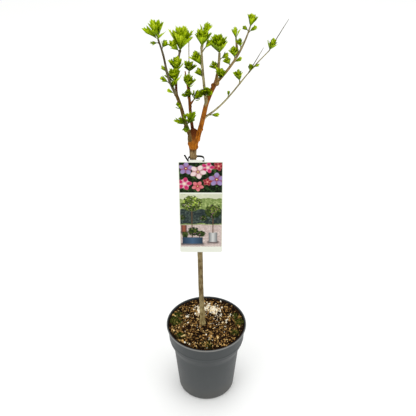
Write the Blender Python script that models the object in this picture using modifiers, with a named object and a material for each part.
"""Potted standard hibiscus: a young plant on one bare stem, in a nursery pot.

Metres, +Z up. The origin is the middle of the pot's flat underside. The plant is one stem with
a knuckle at its top, the boughs that spring from it, and tufts of young leaves along them.
"""

import math
import random
from collections import namedtuple

import bmesh
import bpy
from mathutils import Matrix, Vector
from mathutils.bvhtree import BVHTree

TOUCH = 0.0003  # clearance kept where one piece rests on another
FLAT_ANGLE = math.radians(0.4)  # faces that turn less than this are made one

# Pot: a thin-walled nursery container, 190 mm across its rim
POT_HEIGHT = 0.196
RIM_RADIUS = 0.095
BEAD_DEPTH = 0.004
COLLAR_TOP_RADIUS = 0.0928
COLLAR_FOOT_RADIUS = 0.0885
COLLAR_FOOT_HEIGHT = 0.152
SHOULDER_RADIUS = 0.0783
SHOULDER_HEIGHT = 0.126
BASE_RADIUS = 0.0675
BASE_ROUNDING = 0.0065
POT_WALL = 0.0015
POT_FLOOR = 0.002
POT_STEPS = 32
DRAIN_HOLES = 6
DRAIN_RADIUS = 0.0045
DRAIN_CIRCLE = 0.047

# Compost
COMPOST_TOP = 0.190
COMPOST_EDGE_DROP = 0.003
COMPOST_PAD_RADIUS = 0.026
COMPOST_LUMP = 0.0012

# Trunk, from its flat cut on the compost to the top of the knuckle
TRUNK_FOOT = Vector((-0.009, 0.002, COMPOST_TOP + TOUCH))
TRUNK_TOP = Vector((-0.025, 0.002, 0.724))
TRUNK_LEAN = (  # share of the height, how far the stem has leant towards -X
    (0.0, 0.0),
    (0.08, 0.0004),
    (0.20, 0.0036),
    (0.41, 0.0046),
    (0.64, 0.0110),
    (0.87, 0.0186),
    (0.92, 0.0182),
    (0.96, 0.0163),
    (1.0, 0.0160),
)
TRUNK_GIRTH = (  # share of the height, diameter
    (0.0, 0.0172),
    (0.018, 0.0130),
    (0.06, 0.0113),
    (0.42, 0.0118),
    (0.80, 0.0128),
    (0.875, 0.0136),
    (0.908, 0.0152),
    (0.936, 0.0208),
    (0.955, 0.0236),
    (0.974, 0.0232),
    (0.990, 0.0180),
    (1.0, 0.0080),
)
TRUNK_SMOOTHING = 0.05  # share of the height over which the lean is evened out
TRUNK_SECTIONS = 18

# Boughs and twigs. Each is one tapering limb from its foot to its tip: bow is how far its middle
# stands off the straight line, sway how far it swings one way and then the other.
Limb = namedtuple("Limb", "name parent at foot tip bow sway girth bark")
LIMB_SECTIONS = 9
LIMBS = (
    Limb("left_bough", "trunk", None, (-0.028, 0.002, 0.700), (-0.060, -0.002, 0.808),
         (-0.001, 0, 0), (-0.0015, 0, 0), (0.0090, 0.0065), "brown_bark"),
    Limb("right_bough", "trunk", None, (-0.019, 0.002, 0.698), (0.021, 0.000, 0.831),
         (-0.004, 0, 0), (0.002, 0, 0), (0.0104, 0.0088), "red_bark"),
    Limb("centre_bough", "trunk", None, (-0.025, 0.006, 0.705), (-0.034, 0.032, 0.800),
         (-0.002, 0.002, 0), (0, 0, 0), (0.0070, 0.0056), "red_bark"),
    Limb("left_outer_bough", "left_bough", 0.97, None, (-0.0864, -0.042, 0.934),
         (-0.0025, -0.002, 0), (-0.002, 0, 0), (0.0056, 0.0036), "grey_bark"),
    Limb("left_inner_bough", "left_bough", 0.94, None, (-0.050, 0.034, 0.880),
         (-0.003, 0, 0), (0, 0, 0), (0.0052, 0.0044), "grey_bark"),
    Limb("front_bough", "right_bough", 0.62, None, (-0.008, -0.062, 0.930),
         (-0.0015, 0.003, 0), (0, 0, 0), (0.0060, 0.0042), "pale_bark"),
    Limb("right_outer_bough", "right_bough", 0.97, None, (0.079, -0.055, 0.964),
         (0.007, 0, -0.004), (0, 0, 0), (0.0060, 0.0030), "pale_bark"),
    Limb("right_inner_bough", "right_bough", 0.95, None, (0.026, 0.032, 0.875),
         (0.002, 0, 0), (0, 0, 0), (0.0066, 0.0050), "pale_bark"),
    Limb("centre_twig", "centre_bough", 0.86, None, (-0.034, 0.075, 0.882),
         (0, 0, 0), (0, 0, 0), (0.0028, 0.0022), "pale_bark"),
    Limb("dead_spur", "centre_bough", 0.78, None, (-0.041, 0.030, 0.8375),
         (0, 0, 0), (0, 0, 0), (0.0040, 0.0026), "red_bark"),
    Limb("low_bough", "right_bough", 0.38, None, (0.125, 0.060, 0.868),
         (0, 0, -0.008), (0, 0, -0.005), (0.0046, 0.0022), "pale_bark"),
    Limb("low_bough_end", "low_bough", 0.99, None, (0.161, 0.075, 0.927),
         (0, 0, 0), (0, 0, 0), (0.0014, 0.0010), "pale_bark"),
    Limb("low_side_twig", "low_bough", 0.69, None, (0.112, 0.040, 0.883),
         (0, 0, 0), (0, 0, 0), (0.0014, 0.0010), "pale_bark"),
)

# Tufts of young leaves. reach runs from the limb's centre line to the topmost leaf's tip, spread
# is the lean of the lowest leaf and turn the way it faces, in degrees: 0 is -X, 90 is -Y.
# bare is the share of the reach that carries no leaves.
Tuft = namedtuple("Tuft", "limb at reach leaves spread bare turn")
TUFTS = (
    Tuft("left_bough", 0.23, (-0.003, -0.016, 0.043), 8, 68, 0.06, 10),
    Tuft("left_bough", 0.59, (-0.010, -0.008, 0.025), 4, 34, 0.06, 0),
    Tuft("left_bough", 0.95, (-0.019, 0.012, 0.006), 3, 20, 0.10, 60),
    Tuft("left_outer_bough", 0.09, (0.001, -0.014, 0.024), 4, 36, 0.06, 90),
    Tuft("left_outer_bough", 0.20, (-0.020, -0.006, 0.018), 4, 26, 0.06, 90),
    Tuft("left_outer_bough", 0.40, (-0.011, 0.004, 0.015), 3, 25, 0.10, 0),
    Tuft("left_outer_bough", 0.84, (0.010, 0.004, 0.017), 4, 40, 0.06, 180),
    Tuft("left_outer_bough", 0.95, (-0.017, -0.008, 0.003), 3, 22, 0.10, 90),
    Tuft("left_outer_bough", 1.0, (-0.004, -0.006, 0.040), 9, 52, 0.03, 0),
    Tuft("left_inner_bough", 0.21, (-0.004, -0.014, 0.043), 11, 36, 0.08, 0),
    Tuft("left_inner_bough", 0.475, (0.001, -0.012, 0.040), 11, 34, 0.08, 0),
    Tuft("left_inner_bough", 0.96, (-0.019, -0.010, 0.028), 6, 26, 0.05, 90),
    Tuft("left_inner_bough", 1.0, (0.008, 0.002, 0.051), 14, 39, 0.02, 0),
    Tuft("centre_bough", 0.64, (0.020, -0.014, 0.037), 8, 48, 0.34, 90),
    Tuft("centre_bough", 0.79, (-0.004, -0.014, 0.022), 5, 48, 0.08, 0),
    Tuft("centre_bough", 1.0, (-0.002, -0.012, 0.036), 9, 38, 0.03, 0),
    Tuft("centre_twig", 0.40, (0.001, -0.006, 0.029), 7, 44, 0.06, 180),
    Tuft("front_bough", 0.12, (0.001, -0.021, 0.031), 8, 46, 0.14, 0),
    Tuft("front_bough", 0.45, (-0.011, -0.010, 0.027), 5, 28, 0.06, 0),
    Tuft("front_bough", 0.64, (-0.016, -0.008, 0.037), 8, 30, 0.06, 0),
    Tuft("front_bough", 0.90, (0.018, 0.002, 0.024), 5, 30, 0.24, 180),
    Tuft("front_bough", 0.96, (0.013, 0.018, 0.046), 6, 34, 0.36, 0),
    Tuft("front_bough", 1.0, (0.003, -0.006, 0.036), 10, 34, 0.03, 180),
    Tuft("right_inner_bough", 0.42, (-0.011, -0.009, 0.024), 6, 32, 0.06, 0),
    Tuft("right_inner_bough", 0.78, (0.019, 0.006, 0.012), 6, 34, 0.06, 180),
    Tuft("right_inner_bough", 1.0, (-0.003, -0.004, 0.041), 15, 40, 0.02, 0),
    Tuft("right_outer_bough", 0.07, (0.007, -0.018, 0.028), 10, 44, 0.06, 180),
    Tuft("right_outer_bough", 0.35, (-0.009, -0.006, 0.022), 5, 34, 0.06, 0),
    Tuft("right_outer_bough", 0.41, (0.018, 0.006, 0.009), 4, 22, 0.08, 180),
    Tuft("right_outer_bough", 0.47, (-0.003, -0.010, 0.031), 7, 30, 0.06, 0),
    Tuft("right_outer_bough", 0.55, (-0.006, 0.014, 0.052), 6, 32, 0.50, 180),
    Tuft("right_outer_bough", 0.66, (-0.004, -0.006, 0.023), 6, 34, 0.06, 0),
    Tuft("right_outer_bough", 0.92, (0.016, 0.006, 0.010), 4, 20, 0.06, 180),
    Tuft("right_outer_bough", 0.94, (-0.011, -0.006, 0.012), 4, 24, 0.08, 0),
    Tuft("right_outer_bough", 1.0, (0.004, -0.002, 0.027), 8, 30, 0.03, 180),
    Tuft("low_bough", 0.08, (0.023, -0.006, 0.005), 4, 20, 0.10, 180),
    Tuft("low_bough", 0.38, (0.001, -0.004, 0.018), 3, 18, 0.10, 180),
    Tuft("low_bough", 0.56, (-0.004, -0.006, 0.033), 5, 32, 0.14, 0),
    Tuft("low_bough", 0.70, (0.003, -0.011, 0.021), 5, 24, 0.08, 180),
    Tuft("low_bough", 0.75, (0.014, 0.003, 0.008), 3, 20, 0.08, 90),
    Tuft("low_bough", 1.0, (0.010, -0.004, 0.027), 6, 34, 0.04, 0),
)
GOLDEN_ANGLE = math.radians(137.5)
STEM_BASE_RADIUS = 0.0006
STEM_SWELL = 0.022  # added to a stem's radius, of the tuft's reach
STEM_PAST_FORK = 0.12  # lengths from here on are shares of the tuft's reach
SHOOT_LENGTH = 0.26
LEAFY_LENGTH = 0.22
SHOOT_LEAN = 0.35  # of the lowest leaves' lean
TOP_LEAF_LEAN = 6  # degrees that the topmost leaf leans off the tuft's axis
LOW_LEAF_LEVEL = 0.82  # how high the lowest leaf's tip comes, of the reach
LEAF_WIDTH = 0.44  # of its length
LEAF_BROADEST = 0.68  # share of its length
LEAF_FOLD = 0.30  # how far the margins rise, of the half width
LEAF_CURL = 0.12  # how far the tip turns outwards, of the length
LEAF_THICKNESS = 0.0009
LEAF_SPARE = 0.0005  # air kept between a leaf and any other piece
LEAF_TRIES = 9
LEAF_TURN_AWAY = 0.7  # a blocked leaf is turned and shortened before the next try
LEAF_SHRINK = 0.93

# Label card, and the tie that it hangs from
CARD_WIDTH = 0.0925
CARD_BOTTOM = 0.420
CARD_TOP = 0.6553
CARD_MIDDLE_X = -0.0113
CARD_FRONT_Y = -0.0125
CARD_THICKNESS = 0.0008
CARD_CORNER = 0.004
LOOP_WIDTH = 0.028
LOOP_MIDDLE_X = -0.0215
LOOP_DROP = 0.009
TIE_HEIGHT = 0.004
TIE_THICKNESS = 0.0014
TIE_Z = 0.655
TIE_MIDDLE_X = -0.0205
TIE_HALF_WIDTH = 0.0165
TIE_SQUARENESS = 4.0
TIE_STEPS = 22
TIE_TAIL_LENGTH = 0.016
TIE_TAIL_LEAN = math.radians(-27)

# Colours, roughness
FINISHES = {
    "pot_plastic": ((0.085, 0.093, 0.094), 0.55),
    "compost": ((0.098, 0.060, 0.026), 0.95),
    "stem_bark": ((0.235, 0.185, 0.088), 0.85),
    "brown_bark": ((0.160, 0.105, 0.040), 0.85),
    "red_bark": ((0.140, 0.055, 0.014), 0.80),
    "grey_bark": ((0.110, 0.095, 0.060), 0.85),
    "pale_bark": ((0.330, 0.310, 0.190), 0.80),
    "young_leaf": ((0.245, 0.390, 0.012), 0.50),
    "printed_card": ((0.880, 0.885, 0.800), 0.35),
    "tie_strap": ((0.012, 0.012, 0.012), 0.45),
}


# ---------------------------------------------------------------- scene, materials, mesh tools

def clear_scene():
    for item in list(bpy.data.objects):
        bpy.data.objects.remove(item, do_unlink=True)


def new_collection(name):
    collection = bpy.data.collections.new(name)
    bpy.context.scene.collection.children.link(collection)
    return collection


def finish(name):
    """The named material, made the first time that it is asked for."""
    if name in bpy.data.materials:
        return bpy.data.materials[name]
    colour, roughness = FINISHES[name]
    material = bpy.data.materials.new(name)
    material.use_nodes = True
    shader = material.node_tree.nodes["Principled BSDF"]
    shader.inputs["Base Color"].default_value = (*colour, 1.0)
    shader.inputs["Roughness"].default_value = roughness
    shader.inputs["Metallic"].default_value = 0.0
    return material


def empty_out(collection):
    """Removes a collection and what is in it."""
    for item in list(collection.objects):
        bpy.data.objects.remove(item, do_unlink=True)
    bpy.data.collections.remove(collection)


def mesh_object(name, mesh, collection, finish_name=None):
    piece = bpy.data.objects.new(name, mesh)
    collection.objects.link(piece)
    if finish_name:
        mesh.materials.clear()
        mesh.materials.append(finish(finish_name))
    return piece


def apply_modifiers(piece):
    """Replaces a piece's mesh by the one its modifiers give."""
    graph = bpy.context.evaluated_depsgraph_get()
    mesh = bpy.data.meshes.new_from_object(piece.evaluated_get(graph))
    old = piece.data
    piece.modifiers.clear()
    piece.data = mesh
    bpy.data.meshes.remove(old)


def set_as_cutter(piece):
    piece.hide_render = True
    piece.display_type = "WIRE"


def keep_largest_island(mesh, merge_flat):
    """Drops loose scraps, so that a piece is one body, and may merge faces that lie in one plane."""
    shape = bmesh.new()
    shape.from_mesh(mesh)
    bmesh.ops.remove_doubles(shape, verts=shape.verts, dist=1e-7)
    left = set(shape.verts)
    islands = []
    while left:
        front = [left.pop()]
        island = set(front)
        while front:
            vert = front.pop()
            for edge in vert.link_edges:
                other = edge.other_vert(vert)
                if other in left:
                    left.discard(other)
                    island.add(other)
                    front.append(other)
        islands.append(island)
    islands.sort(key=len)
    for island in islands[:-1]:
        bmesh.ops.delete(shape, geom=list(island), context="VERTS")
    if merge_flat:
        bmesh.ops.dissolve_limit(shape, angle_limit=FLAT_ANGLE, verts=shape.verts, edges=shape.edges)
    bmesh.ops.triangulate(shape, faces=shape.faces)
    shape.to_mesh(mesh)
    shape.free()


def is_closed(mesh):
    """True where every edge has two faces that agree on which side is out."""
    shape = bmesh.new()
    shape.from_mesh(mesh)
    closed = len(shape.faces) > 3 and all(edge.is_contiguous for edge in shape.edges)
    shape.free()
    return closed


def boolean(piece, operation, operand=None, collection=None):
    """Runs one Boolean to a closed mesh, by EXACT or, where that fails, by MANIFOLD."""
    before = piece.data.copy()
    for solver, merge_flat in (("EXACT", True), ("EXACT", False), ("MANIFOLD", False)):
        modifier = piece.modifiers.new(operation.lower(), "BOOLEAN")
        modifier.operation = operation
        modifier.solver = solver
        if collection:
            modifier.operand_type = "COLLECTION"
            modifier.collection = collection
        else:
            modifier.object = operand
        apply_modifiers(piece)
        keep_largest_island(piece.data, merge_flat)
        if is_closed(piece.data):
            break
        piece.data = before.copy()
    bpy.data.meshes.remove(before)


def straighten(piece):
    """Smooth shading with creases kept."""
    piece.data.shade_smooth()
    piece.data.set_sharp_from_angle(angle=math.radians(35))


# ---------------------------------------------------------------- obstacles for the leaves

obstacles = {}


def add_obstacle(piece):
    """Keeps a finished piece's surface, so that no leaf is placed through it."""
    shape = bmesh.new()
    shape.from_mesh(piece.data)
    corners = [vert.co for vert in shape.verts]
    low = Vector(min(corner[axis] for corner in corners) for axis in range(3))
    high = Vector(max(corner[axis] for corner in corners) for axis in range(3))
    obstacles[piece.name] = (low, high, BVHTree.FromBMesh(shape))
    shape.free()


def is_blocked(shape, own_name):
    """True where a test shape crosses a finished piece other than its own."""
    tree = BVHTree.FromBMesh(shape)
    corners = [vert.co for vert in shape.verts]
    low = Vector(min(corner[axis] for corner in corners) for axis in range(3))
    high = Vector(max(corner[axis] for corner in corners) for axis in range(3))
    for name, (other_low, other_high, other) in obstacles.items():
        apart = any(low[axis] > other_high[axis] or high[axis] < other_low[axis] for axis in range(3))
        if name != own_name and not apart and tree.overlap(other):
            return True
    return False


# ---------------------------------------------------------------- pot and compost

def turned(name, profile, steps, collection, finish_name):
    """A profile of (radius, height) pairs, turned about the pot's axis."""
    mesh = bpy.data.meshes.new(name)
    points = [(radius, 0.0, height) for radius, height in profile]
    links = [(index, index + 1) for index in range(len(points) - 1)]
    mesh.from_pydata(points, links, [])
    piece = mesh_object(name, mesh, collection, finish_name)
    screw = piece.modifiers.new("turn", "SCREW")
    screw.axis = "Z"
    screw.angle = math.tau
    screw.steps = steps
    screw.render_steps = steps
    screw.use_merge_vertices = True
    screw.merge_threshold = 0.00001
    apply_modifiers(piece)
    return piece


def inner_radius(height):
    """Radius of the pot's inner wall at a height."""
    outer = (
        (BASE_ROUNDING, BASE_RADIUS),
        (SHOULDER_HEIGHT, SHOULDER_RADIUS),
        (COLLAR_FOOT_HEIGHT, COLLAR_FOOT_RADIUS),
        (POT_HEIGHT - BEAD_DEPTH, COLLAR_TOP_RADIUS),
    )
    return between(outer, height) - POT_WALL


def between(stations, at):
    """Straight-line value between (place, value) stations."""
    for (start, low), (end, high) in zip(stations, stations[1:]):
        if at <= end:
            return low + (high - low) * max(0.0, at - start) / (end - start)
    return stations[-1][1]


def make_pot(collection):
    wall_heights = (POT_HEIGHT - BEAD_DEPTH, COLLAR_FOOT_HEIGHT, SHOULDER_HEIGHT, BASE_ROUNDING)
    inside = [(inner_radius(height), height) for height in reversed(wall_heights)]
    rounding = BASE_ROUNDING * (1 - math.cos(math.radians(45)))
    profile = [
        (0.0, POT_FLOOR),
        (BASE_RADIUS - BASE_ROUNDING, POT_FLOOR),
        *inside,
        (RIM_RADIUS - POT_WALL - 0.0012, POT_HEIGHT - 0.0004),
        (RIM_RADIUS - 0.0015, POT_HEIGHT),
        (RIM_RADIUS, POT_HEIGHT - 0.0014),
        (RIM_RADIUS - 0.0003, POT_HEIGHT - BEAD_DEPTH),
        (COLLAR_TOP_RADIUS, POT_HEIGHT - BEAD_DEPTH - 0.001),
        (COLLAR_FOOT_RADIUS, COLLAR_FOOT_HEIGHT),
        (SHOULDER_RADIUS, SHOULDER_HEIGHT),
        (BASE_RADIUS, BASE_ROUNDING),
        (BASE_RADIUS - rounding, rounding),
        (BASE_RADIUS - BASE_ROUNDING, 0.0),
        (0.0, 0.0),
    ]
    pot = turned("pot", profile, POT_STEPS, collection, "pot_plastic")
    drills = new_collection("drills")
    for number in range(DRAIN_HOLES):
        angle = math.tau * number / DRAIN_HOLES
        middle = Vector((DRAIN_CIRCLE * math.cos(angle), DRAIN_CIRCLE * math.sin(angle), 0.0))
        shape = bmesh.new()
        bmesh.ops.create_cone(shape, cap_ends=True, segments=8, radius1=DRAIN_RADIUS,
                              radius2=DRAIN_RADIUS, depth=4 * POT_FLOOR,
                              matrix=Matrix.Translation(middle))
        mesh = bpy.data.meshes.new(f"drain_hole_{number + 1}")
        shape.to_mesh(mesh)
        shape.free()
        mesh_object(mesh.name, mesh, drills)
    boolean(pot, "DIFFERENCE", collection=drills)
    empty_out(drills)
    straighten(pot)
    return pot


def make_compost(collection):
    """The filled inside of the pot: flat round the trunk, a little lumpy towards the wall."""
    edge_height = COMPOST_TOP - COMPOST_EDGE_DROP
    edge_radius = inner_radius(edge_height) - TOUCH
    ring_shares = (0.35, 0.7)
    rings = [COMPOST_PAD_RADIUS + (edge_radius - COMPOST_PAD_RADIUS) * share for share in ring_shares]
    floor = POT_FLOOR + TOUCH
    profile = [
        (0.0, COMPOST_TOP),
        (COMPOST_PAD_RADIUS, COMPOST_TOP),
        *((radius, COMPOST_TOP - 0.001) for radius in rings),
        (edge_radius, edge_height),
        *((inner_radius(height) - TOUCH, height)
          for height in (COLLAR_FOOT_HEIGHT, SHOULDER_HEIGHT, BASE_ROUNDING)),
        (BASE_RADIUS - BASE_ROUNDING - 2 * TOUCH, floor),
        (0.0, floor),
    ]
    compost = turned("compost", profile, POT_STEPS, collection, "compost")
    lumps = random.Random(4)
    for vert in compost.data.vertices:
        radius = math.hypot(vert.co.x, vert.co.y)
        if vert.co.z > edge_height + 0.0005 and radius > COMPOST_PAD_RADIUS + 0.005:
            vert.co.z += lumps.uniform(-COMPOST_LUMP, COMPOST_LUMP)
    return compost


# ---------------------------------------------------------------- trunk and limbs

class Path:
    """A limb's centre line and thickness, both read by the share of its length."""

    def __init__(self, point, girth, sections, bark):
        self.point = point
        self.girth = girth
        self.sections = sections
        self.bark = bark

    def radius(self, at):
        return between(self.girth, at) / 2

    def tangent(self, at):
        step = 0.01
        return (self.point(min(1.0, at + step)) - self.point(max(0.0, at - step))).normalized()


def trunk_point(at):
    """The trunk is upright at its foot, then leans one way in slow bends."""
    steps = [between(TRUNK_LEAN, min(1.0, max(0.0, at + shift * TRUNK_SMOOTHING)))
             for shift in (-1.0, -0.5, 0.0, 0.5, 1.0)]
    point = TRUNK_FOOT.lerp(TRUNK_TOP, at)
    point.x = TRUNK_FOOT.x - sum(steps) / len(steps)
    return point


def limb_path(limb, paths):
    parent = paths[limb.parent]
    foot = Vector(limb.foot) if limb.foot else parent.point(limb.at)
    tip = Vector(limb.tip)
    bow = Vector(limb.bow)
    sway = Vector(limb.sway)

    def point(at):
        return foot.lerp(tip, at) + bow * (4 * at * (1 - at)) + sway * math.sin(math.tau * at)

    girth = ((0.0, limb.girth[0]), (1.0, limb.girth[1]))
    return Path(point, girth, LIMB_SECTIONS, limb.bark)


def section_places(path):
    """Even steps along a limb, with the places where its girth changes added."""
    even = [index / (path.sections - 1) for index in range(path.sections)]
    changes = [place for place, _ in path.girth]
    return sorted({round(place, 4) for place in even + changes})


def tube(name, path, collection, finish_name=None, grow=0.0, resolution=2):
    """A tapering round limb; grow makes it that much fatter and longer, to cut clearance."""
    places = section_places(path)
    line = bpy.data.curves.new(name, "CURVE")
    line.dimensions = "3D"
    line.bevel_depth = 1.0
    line.bevel_resolution = resolution
    line.use_fill_caps = True
    spline = line.splines.new("POLY")
    spline.points.add(len(places) - 1)
    for spline_point, place in zip(spline.points, places):
        spline_point.co = (*path.point(place), 1.0)
        spline_point.radius = path.radius(place) + grow
    spline.points[-1].co.xyz = path.point(1.0) + path.tangent(1.0) * grow
    wire = bpy.data.objects.new(name + "_line", line)
    collection.objects.link(wire)
    graph = bpy.context.evaluated_depsgraph_get()
    mesh = bpy.data.meshes.new_from_object(wire.evaluated_get(graph))
    shape = bmesh.new()
    shape.from_mesh(mesh)
    bmesh.ops.remove_doubles(shape, verts=shape.verts, dist=0.00002)
    bmesh.ops.recalc_face_normals(shape, faces=shape.faces)
    bmesh.ops.triangulate(shape, faces=shape.faces)
    shape.to_mesh(mesh)
    shape.free()
    mesh.name = name
    piece = mesh_object(name, mesh, collection, finish_name)
    piece.matrix_world = wire.matrix_world
    bpy.data.objects.remove(wire, do_unlink=True)
    bpy.data.curves.remove(line)
    return piece


def tube_resolution(path):
    """Stout limbs have 12 sides, thin ones 8."""
    return 4 if path.radius(0.5) > 0.0045 else 2


def cut_clear(piece, path_names, paths, cutters):
    """Cuts a piece back to a saddle that stays just clear of the limbs it springs from."""
    for name in path_names:
        path = paths[name]
        cutter = tube(name + "_cutter", path, cutters, grow=TOUCH, resolution=tube_resolution(path))
        set_as_cutter(cutter)
        boolean(piece, "DIFFERENCE", operand=cutter)
        bpy.data.objects.remove(cutter, do_unlink=True)


def make_trunk(paths, collection):
    paths["trunk"] = Path(trunk_point, TRUNK_GIRTH, TRUNK_SECTIONS, "stem_bark")
    trunk = tube("trunk", paths["trunk"], collection, "stem_bark", resolution=4)
    straighten(trunk)
    return trunk


def make_limb(limb, paths, collection, cutters):
    """One bough or twig, its foot cut clear of its parent and of any limb that starts beside it."""
    path = limb_path(limb, paths)
    piece = tube(limb.name, path, collection, limb.bark, resolution=tube_resolution(path))
    beside = [other.name for other in LIMBS if other.parent == limb.parent and other.name in paths]
    cut_clear(piece, [limb.parent, *beside], paths, cutters)
    paths[limb.name] = path
    straighten(piece)
    return piece


# ---------------------------------------------------------------- tufts of leaves

def leaf_shape(base, along, outward, length, width, spare=0.0):
    """A folded blade as a closed bmesh of 8 faces, pointed at both ends and curling outwards."""
    across = along.cross(outward).normalized()
    outward = across.cross(along).normalized()
    half = width / 2 + spare
    thick = LEAF_THICKNESS / 2 + spare
    middle = base + along * (length * LEAF_BROADEST) + outward * (length * LEAF_CURL / 4)
    fold = outward * (-half * LEAF_FOLD)
    shape = bmesh.new()
    root = shape.verts.new(base - along * spare)
    tip = shape.verts.new(base + along * (length + spare) + outward * (length * LEAF_CURL))
    ring = [shape.verts.new(corner) for corner in (
        middle - across * half + fold, middle - outward * thick,
        middle + across * half + fold, middle + outward * thick)]
    for index, corner in enumerate(ring):
        after = ring[(index + 1) % 4]
        shape.faces.new((after, corner, root))
        shape.faces.new((corner, after, tip))
    bmesh.ops.recalc_face_normals(shape, faces=shape.faces)
    return shape


def cone_between(name, start, end, start_radius, end_radius, collection, sides=4):
    """A straight tapering twig."""
    line = end - start
    turn = line.to_track_quat("Z", "Y").to_matrix().to_4x4()
    place = Matrix.Translation((start + end) / 2) @ turn
    shape = bmesh.new()
    bmesh.ops.create_cone(shape, cap_ends=True, segments=sides, radius1=start_radius,
                          radius2=end_radius, depth=line.length, matrix=place)
    bmesh.ops.triangulate(shape, faces=shape.faces)
    mesh = bpy.data.meshes.new(name)
    shape.to_mesh(mesh)
    shape.free()
    return mesh_object(name, mesh, collection)


def lean_from(axis, degrees, turn):
    """A direction that leans off an axis, turned about it."""
    helper = Vector((0.0, 1.0, 0.0)) if abs(axis.y) < 0.9 else Vector((1.0, 0.0, 0.0))
    side = axis.cross(helper).normalized()
    side.rotate(Matrix.Rotation(turn, 3, axis))
    lean = math.radians(degrees)
    return axis * math.cos(lean) + side * math.sin(lean), side


def bare_length(tuft, path):
    """From the limb's centre line to a tuft's fork: out of the limb, then the leafless stretch."""
    reach = Vector(tuft.reach)
    inside = 0.0
    if tuft.at < 1.0:
        sideways = reach.normalized().cross(path.tangent(tuft.at)).length
        inside = path.radius(tuft.at) / max(sideways, 0.5)
    return inside + reach.length * tuft.bare


def make_stem(name, tuft, seed, path, collection):
    """A tuft's twigs: one stem from the limb, and the shoots that fork from it."""
    rng = random.Random(seed)
    seat = path.point(tuft.at)
    reach = Vector(tuft.reach)
    height = reach.length
    axis = reach.normalized()
    radius = STEM_BASE_RADIUS + STEM_SWELL * height
    fork = seat + axis * bare_length(tuft, path)
    start = seat - path.tangent(1.0) * 0.002 if tuft.at == 1.0 else seat
    stem = cone_between(name, start, fork + axis * (height * STEM_PAST_FORK),
                        radius, radius * 0.8, collection)
    twigs = new_collection("twigs")
    shoots = []
    shoot_count = 1 if tuft.leaves < 7 else 2 if tuft.leaves < 10 else 3
    for number in range(shoot_count):
        turn = math.tau * number / shoot_count + rng.uniform(-0.4, 0.4)
        lean = 0.0 if shoot_count == 1 else tuft.spread * SHOOT_LEAN
        direction, _ = lean_from(axis, lean, turn)
        cone_between(f"{name}_shoot_{number + 1}", fork - axis * radius,
                     fork + direction * (height * SHOOT_LENGTH), radius * 0.75, radius * 0.5,
                     twigs, sides=3)
        shoots.append(direction)
    boolean(stem, "UNION", collection=twigs)
    empty_out(twigs)
    return stem, fork, shoots, rng


def add_leaves(stem, fork, shoots, rng, tuft, paths, cutters):
    """Fuses a tuft's leaves to its shoots: a spiral that rises and closes towards the top."""
    reach = Vector(tuft.reach)
    height = reach.length
    axis = reach.normalized()
    span = height - bare_length(tuft, paths[tuft.limb])
    blades = new_collection("blades")
    for number in range(tuft.leaves):
        share = number / (tuft.leaves - 1)
        root = fork + shoots[number % len(shoots)] * (height * LEAFY_LENGTH * share)
        lean = tuft.spread + (TOP_LEAF_LEAN - tuft.spread) * share
        level = span * (LOW_LEAF_LEVEL + (1 - LOW_LEAF_LEVEL) * share) - (root - fork).dot(axis)
        length = min(level / math.cos(math.radians(lean * 0.8)), span * 0.95)
        turn = GOLDEN_ANGLE * number + math.radians(tuft.turn) + rng.uniform(-0.3, 0.3)
        width = LEAF_WIDTH * rng.uniform(0.9, 1.15)
        for _ in range(LEAF_TRIES):
            along, outward = lean_from(axis, lean, turn)
            test = leaf_shape(root + along * LEAF_THICKNESS, along, outward, length,
                              length * width, LEAF_SPARE)
            blocked = is_blocked(test, stem.name)
            test.free()
            if not blocked:
                blade = leaf_shape(root - along * LEAF_THICKNESS / 2, along, outward, length,
                                   length * width)
                mesh = bpy.data.meshes.new(f"{stem.name}_leaf_{number + 1}")
                blade.to_mesh(mesh)
                blade.free()
                mesh_object(mesh.name, mesh, blades)
                break
            turn += LEAF_TURN_AWAY
            length *= LEAF_SHRINK
    boolean(stem, "UNION", collection=blades)
    empty_out(blades)
    beside = [limb.name for limb in LIMBS if limb.parent == tuft.limb]
    cut_clear(stem, [tuft.limb, *beside], paths, cutters)
    stem.data.materials.clear()
    stem.data.materials.append(finish("young_leaf"))


# ---------------------------------------------------------------- label card and tie

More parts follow.
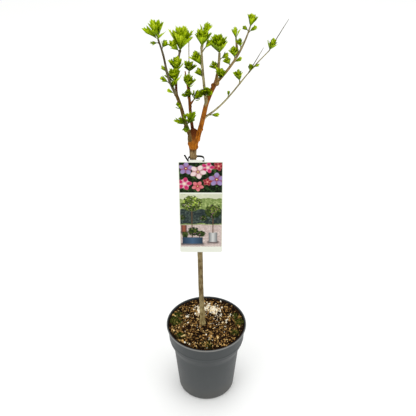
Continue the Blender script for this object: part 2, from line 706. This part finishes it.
def make_card(collection):
    """A thin card with rounded corners; a loop at its top folds back over the tie."""
    outline = bpy.data.curves.new("label_card", "CURVE")
    outline.dimensions = "2D"
    outline.fill_mode = "BOTH"
    outline.extrude = CARD_THICKNESS / 2
    spline = outline.splines.new("POLY")
    half_width = CARD_WIDTH / 2 - CARD_CORNER
    half_height = (CARD_TOP - CARD_BOTTOM) / 2 - CARD_CORNER
    corners = ((half_width, half_height, 0), (-half_width, half_height, 90),
               (-half_width, -half_height, 180), (half_width, -half_height, 270))
    points = []
    for x, y, first in corners:
        for step in range(4):
            angle = math.radians(first + 30 * step)
            points.append((x + CARD_CORNER * math.cos(angle), y + CARD_CORNER * math.sin(angle)))
    spline.points.add(len(points) - 1)
    for spline_point, (x, y) in zip(spline.points, points):
        spline_point.co = (x, y, 0.0, 1.0)
    spline.use_cyclic_u = True
    flat = bpy.data.objects.new("label_card_outline", outline)
    collection.objects.link(flat)
    graph = bpy.context.evaluated_depsgraph_get()
    mesh = bpy.data.meshes.new_from_object(flat.evaluated_get(graph))
    bpy.data.objects.remove(flat, do_unlink=True)
    middle = Vector((CARD_MIDDLE_X, CARD_FRONT_Y + CARD_THICKNESS / 2, (CARD_TOP + CARD_BOTTOM) / 2))
    mesh.transform(Matrix.Translation(middle) @ Matrix.Rotation(math.radians(90), 4, "X"))
    shape = bmesh.new()
    shape.from_mesh(mesh)
    bmesh.ops.remove_doubles(shape, verts=shape.verts, dist=0.00002)
    bmesh.ops.triangulate(shape, faces=shape.faces)
    bmesh.ops.recalc_face_normals(shape, faces=shape.faces)
    shape.to_mesh(mesh)
    shape.free()
    card = mesh_object("label_card", mesh, collection, "printed_card")

    # The loop: a strip that rises from the card's top edge, turns over the tie and hangs behind
    inner = (tie_front_y() - (CARD_FRONT_Y + CARD_THICKNESS))
    top = TIE_Z + TIE_HEIGHT / 2 + TOUCH - inner
    centre_y = CARD_FRONT_Y + CARD_THICKNESS + inner
    strip = [(CARD_FRONT_Y + CARD_THICKNESS / 2, CARD_TOP - 0.003)]
    radius = inner + CARD_THICKNESS / 2
    for step in range(7):
        angle = math.radians(180 - 30 * step)
        strip.append((centre_y + radius * math.cos(angle), top + radius * math.sin(angle)))
    strip.append((centre_y + radius, CARD_TOP - LOOP_DROP))
    mesh = bpy.data.meshes.new("label_loop")
    left = LOOP_MIDDLE_X - LOOP_WIDTH / 2
    corners = [(x, y, z) for y, z in strip for x in (left, left + LOOP_WIDTH)]
    faces = [(2 * i, 2 * i + 1, 2 * i + 3, 2 * i + 2) for i in range(len(strip) - 1)]
    mesh.from_pydata(corners, [], faces)
    folds = new_collection("folds")
    loop = mesh_object("label_loop", mesh, folds)
    thicken = loop.modifiers.new("thickness", "SOLIDIFY")
    thicken.thickness = CARD_THICKNESS
    thicken.offset = 0.0
    apply_modifiers(loop)
    boolean(card, "UNION", collection=folds)
    empty_out(folds)
    return card


def tie_front_y():
    """Centre line of the tie's front strand, inside the card's loop."""
    return CARD_FRONT_Y + CARD_THICKNESS + TIE_THICKNESS / 2 + 0.0012


def make_tie(paths, collection):
    """A flat strap round the trunk: straight in the card's loop, squarish behind, one loose tail."""
    share = (TIE_Z - TRUNK_FOOT.z) / (TRUNK_TOP.z - TRUNK_FOOT.z)
    trunk_middle = paths["trunk"].point(share)
    back = trunk_middle.y + paths["trunk"].radius(share) + TOUCH + TIE_THICKNESS / 2
    off_middle = abs(trunk_middle.x - TIE_MIDDLE_X) / TIE_HALF_WIDTH
    fullness = (1 - off_middle ** TIE_SQUARENESS) ** (1 / TIE_SQUARENESS)
    depth = (back - tie_front_y()) / fullness
    ring = []
    for step in range(TIE_STEPS + 1):
        angle = math.pi * step / TIE_STEPS
        across = math.copysign(abs(math.cos(angle)) ** (2 / TIE_SQUARENESS), math.cos(angle))
        behind = math.sin(angle) ** (2 / TIE_SQUARENESS) if 0 < step < TIE_STEPS else 0.0
        ring.append((TIE_MIDDLE_X + TIE_HALF_WIDTH * across, tie_front_y() + depth * behind))
    mesh = bpy.data.meshes.new("label_tie")
    corners = [(x, y, z) for x, y in ring for z in (TIE_Z - TIE_HEIGHT / 2, TIE_Z + TIE_HEIGHT / 2)]
    count = len(ring)
    faces = [(2 * i, 2 * ((i + 1) % count), 2 * ((i + 1) % count) + 1, 2 * i + 1) for i in range(count)]
    mesh.from_pydata(corners, [], faces)
    tie = mesh_object("label_tie", mesh, collection, "tie_strap")
    thicken = tie.modifiers.new("thickness", "SOLIDIFY")
    thicken.thickness = TIE_THICKNESS
    thicken.offset = 0.0
    apply_modifiers(tie)

    tails = new_collection("tails")
    mesh = bpy.data.meshes.new("tie_tail")
    shape = bmesh.new()
    bmesh.ops.create_cube(shape, size=1.0)
    shape.to_mesh(mesh)
    shape.free()
    tail = mesh_object("tie_tail", mesh, tails)
    foot = Vector((TIE_MIDDLE_X - TIE_HALF_WIDTH, tie_front_y() + 0.001, TIE_Z))
    size = Matrix.Diagonal((TIE_HEIGHT * 0.8, TIE_THICKNESS, TIE_TAIL_LENGTH, 1.0))
    rise = Matrix.Translation((0.0, 0.0, TIE_TAIL_LENGTH / 2))
    lean = Matrix.Rotation(TIE_TAIL_LEAN, 4, "Y")
    tail.data.transform(Matrix.Translation(foot) @ lean @ rise @ size)
    boolean(tie, "UNION", collection=tails)
    empty_out(tails)
    return tie


# ---------------------------------------------------------------- the whole plant

def main():
    clear_scene()
    plant = new_collection("potted_standard_hibiscus")
    cutters = new_collection("cutters")
    paths = {}

    add_obstacle(make_pot(plant))
    add_obstacle(make_compost(plant))
    add_obstacle(make_trunk(paths, plant))
    add_obstacle(make_card(plant))
    add_obstacle(make_tie(paths, plant))
    for limb in LIMBS:
        add_obstacle(make_limb(limb, paths, plant, cutters))

    stems = []
    tufts_on = {}
    for seed, tuft in enumerate(TUFTS):
        tufts_on[tuft.limb] = tufts_on.get(tuft.limb, 0) + 1
        name = f"{tuft.limb}_leaves_{tufts_on[tuft.limb]}"
        stems.append(make_stem(name, tuft, seed, paths[tuft.limb], plant))
        add_obstacle(stems[-1][0])
    for (stem, fork, shoots, rng), tuft in zip(stems, TUFTS):
        add_leaves(stem, fork, shoots, rng, tuft, paths, cutters)
        add_obstacle(stem)
    empty_out(cutters)


main()
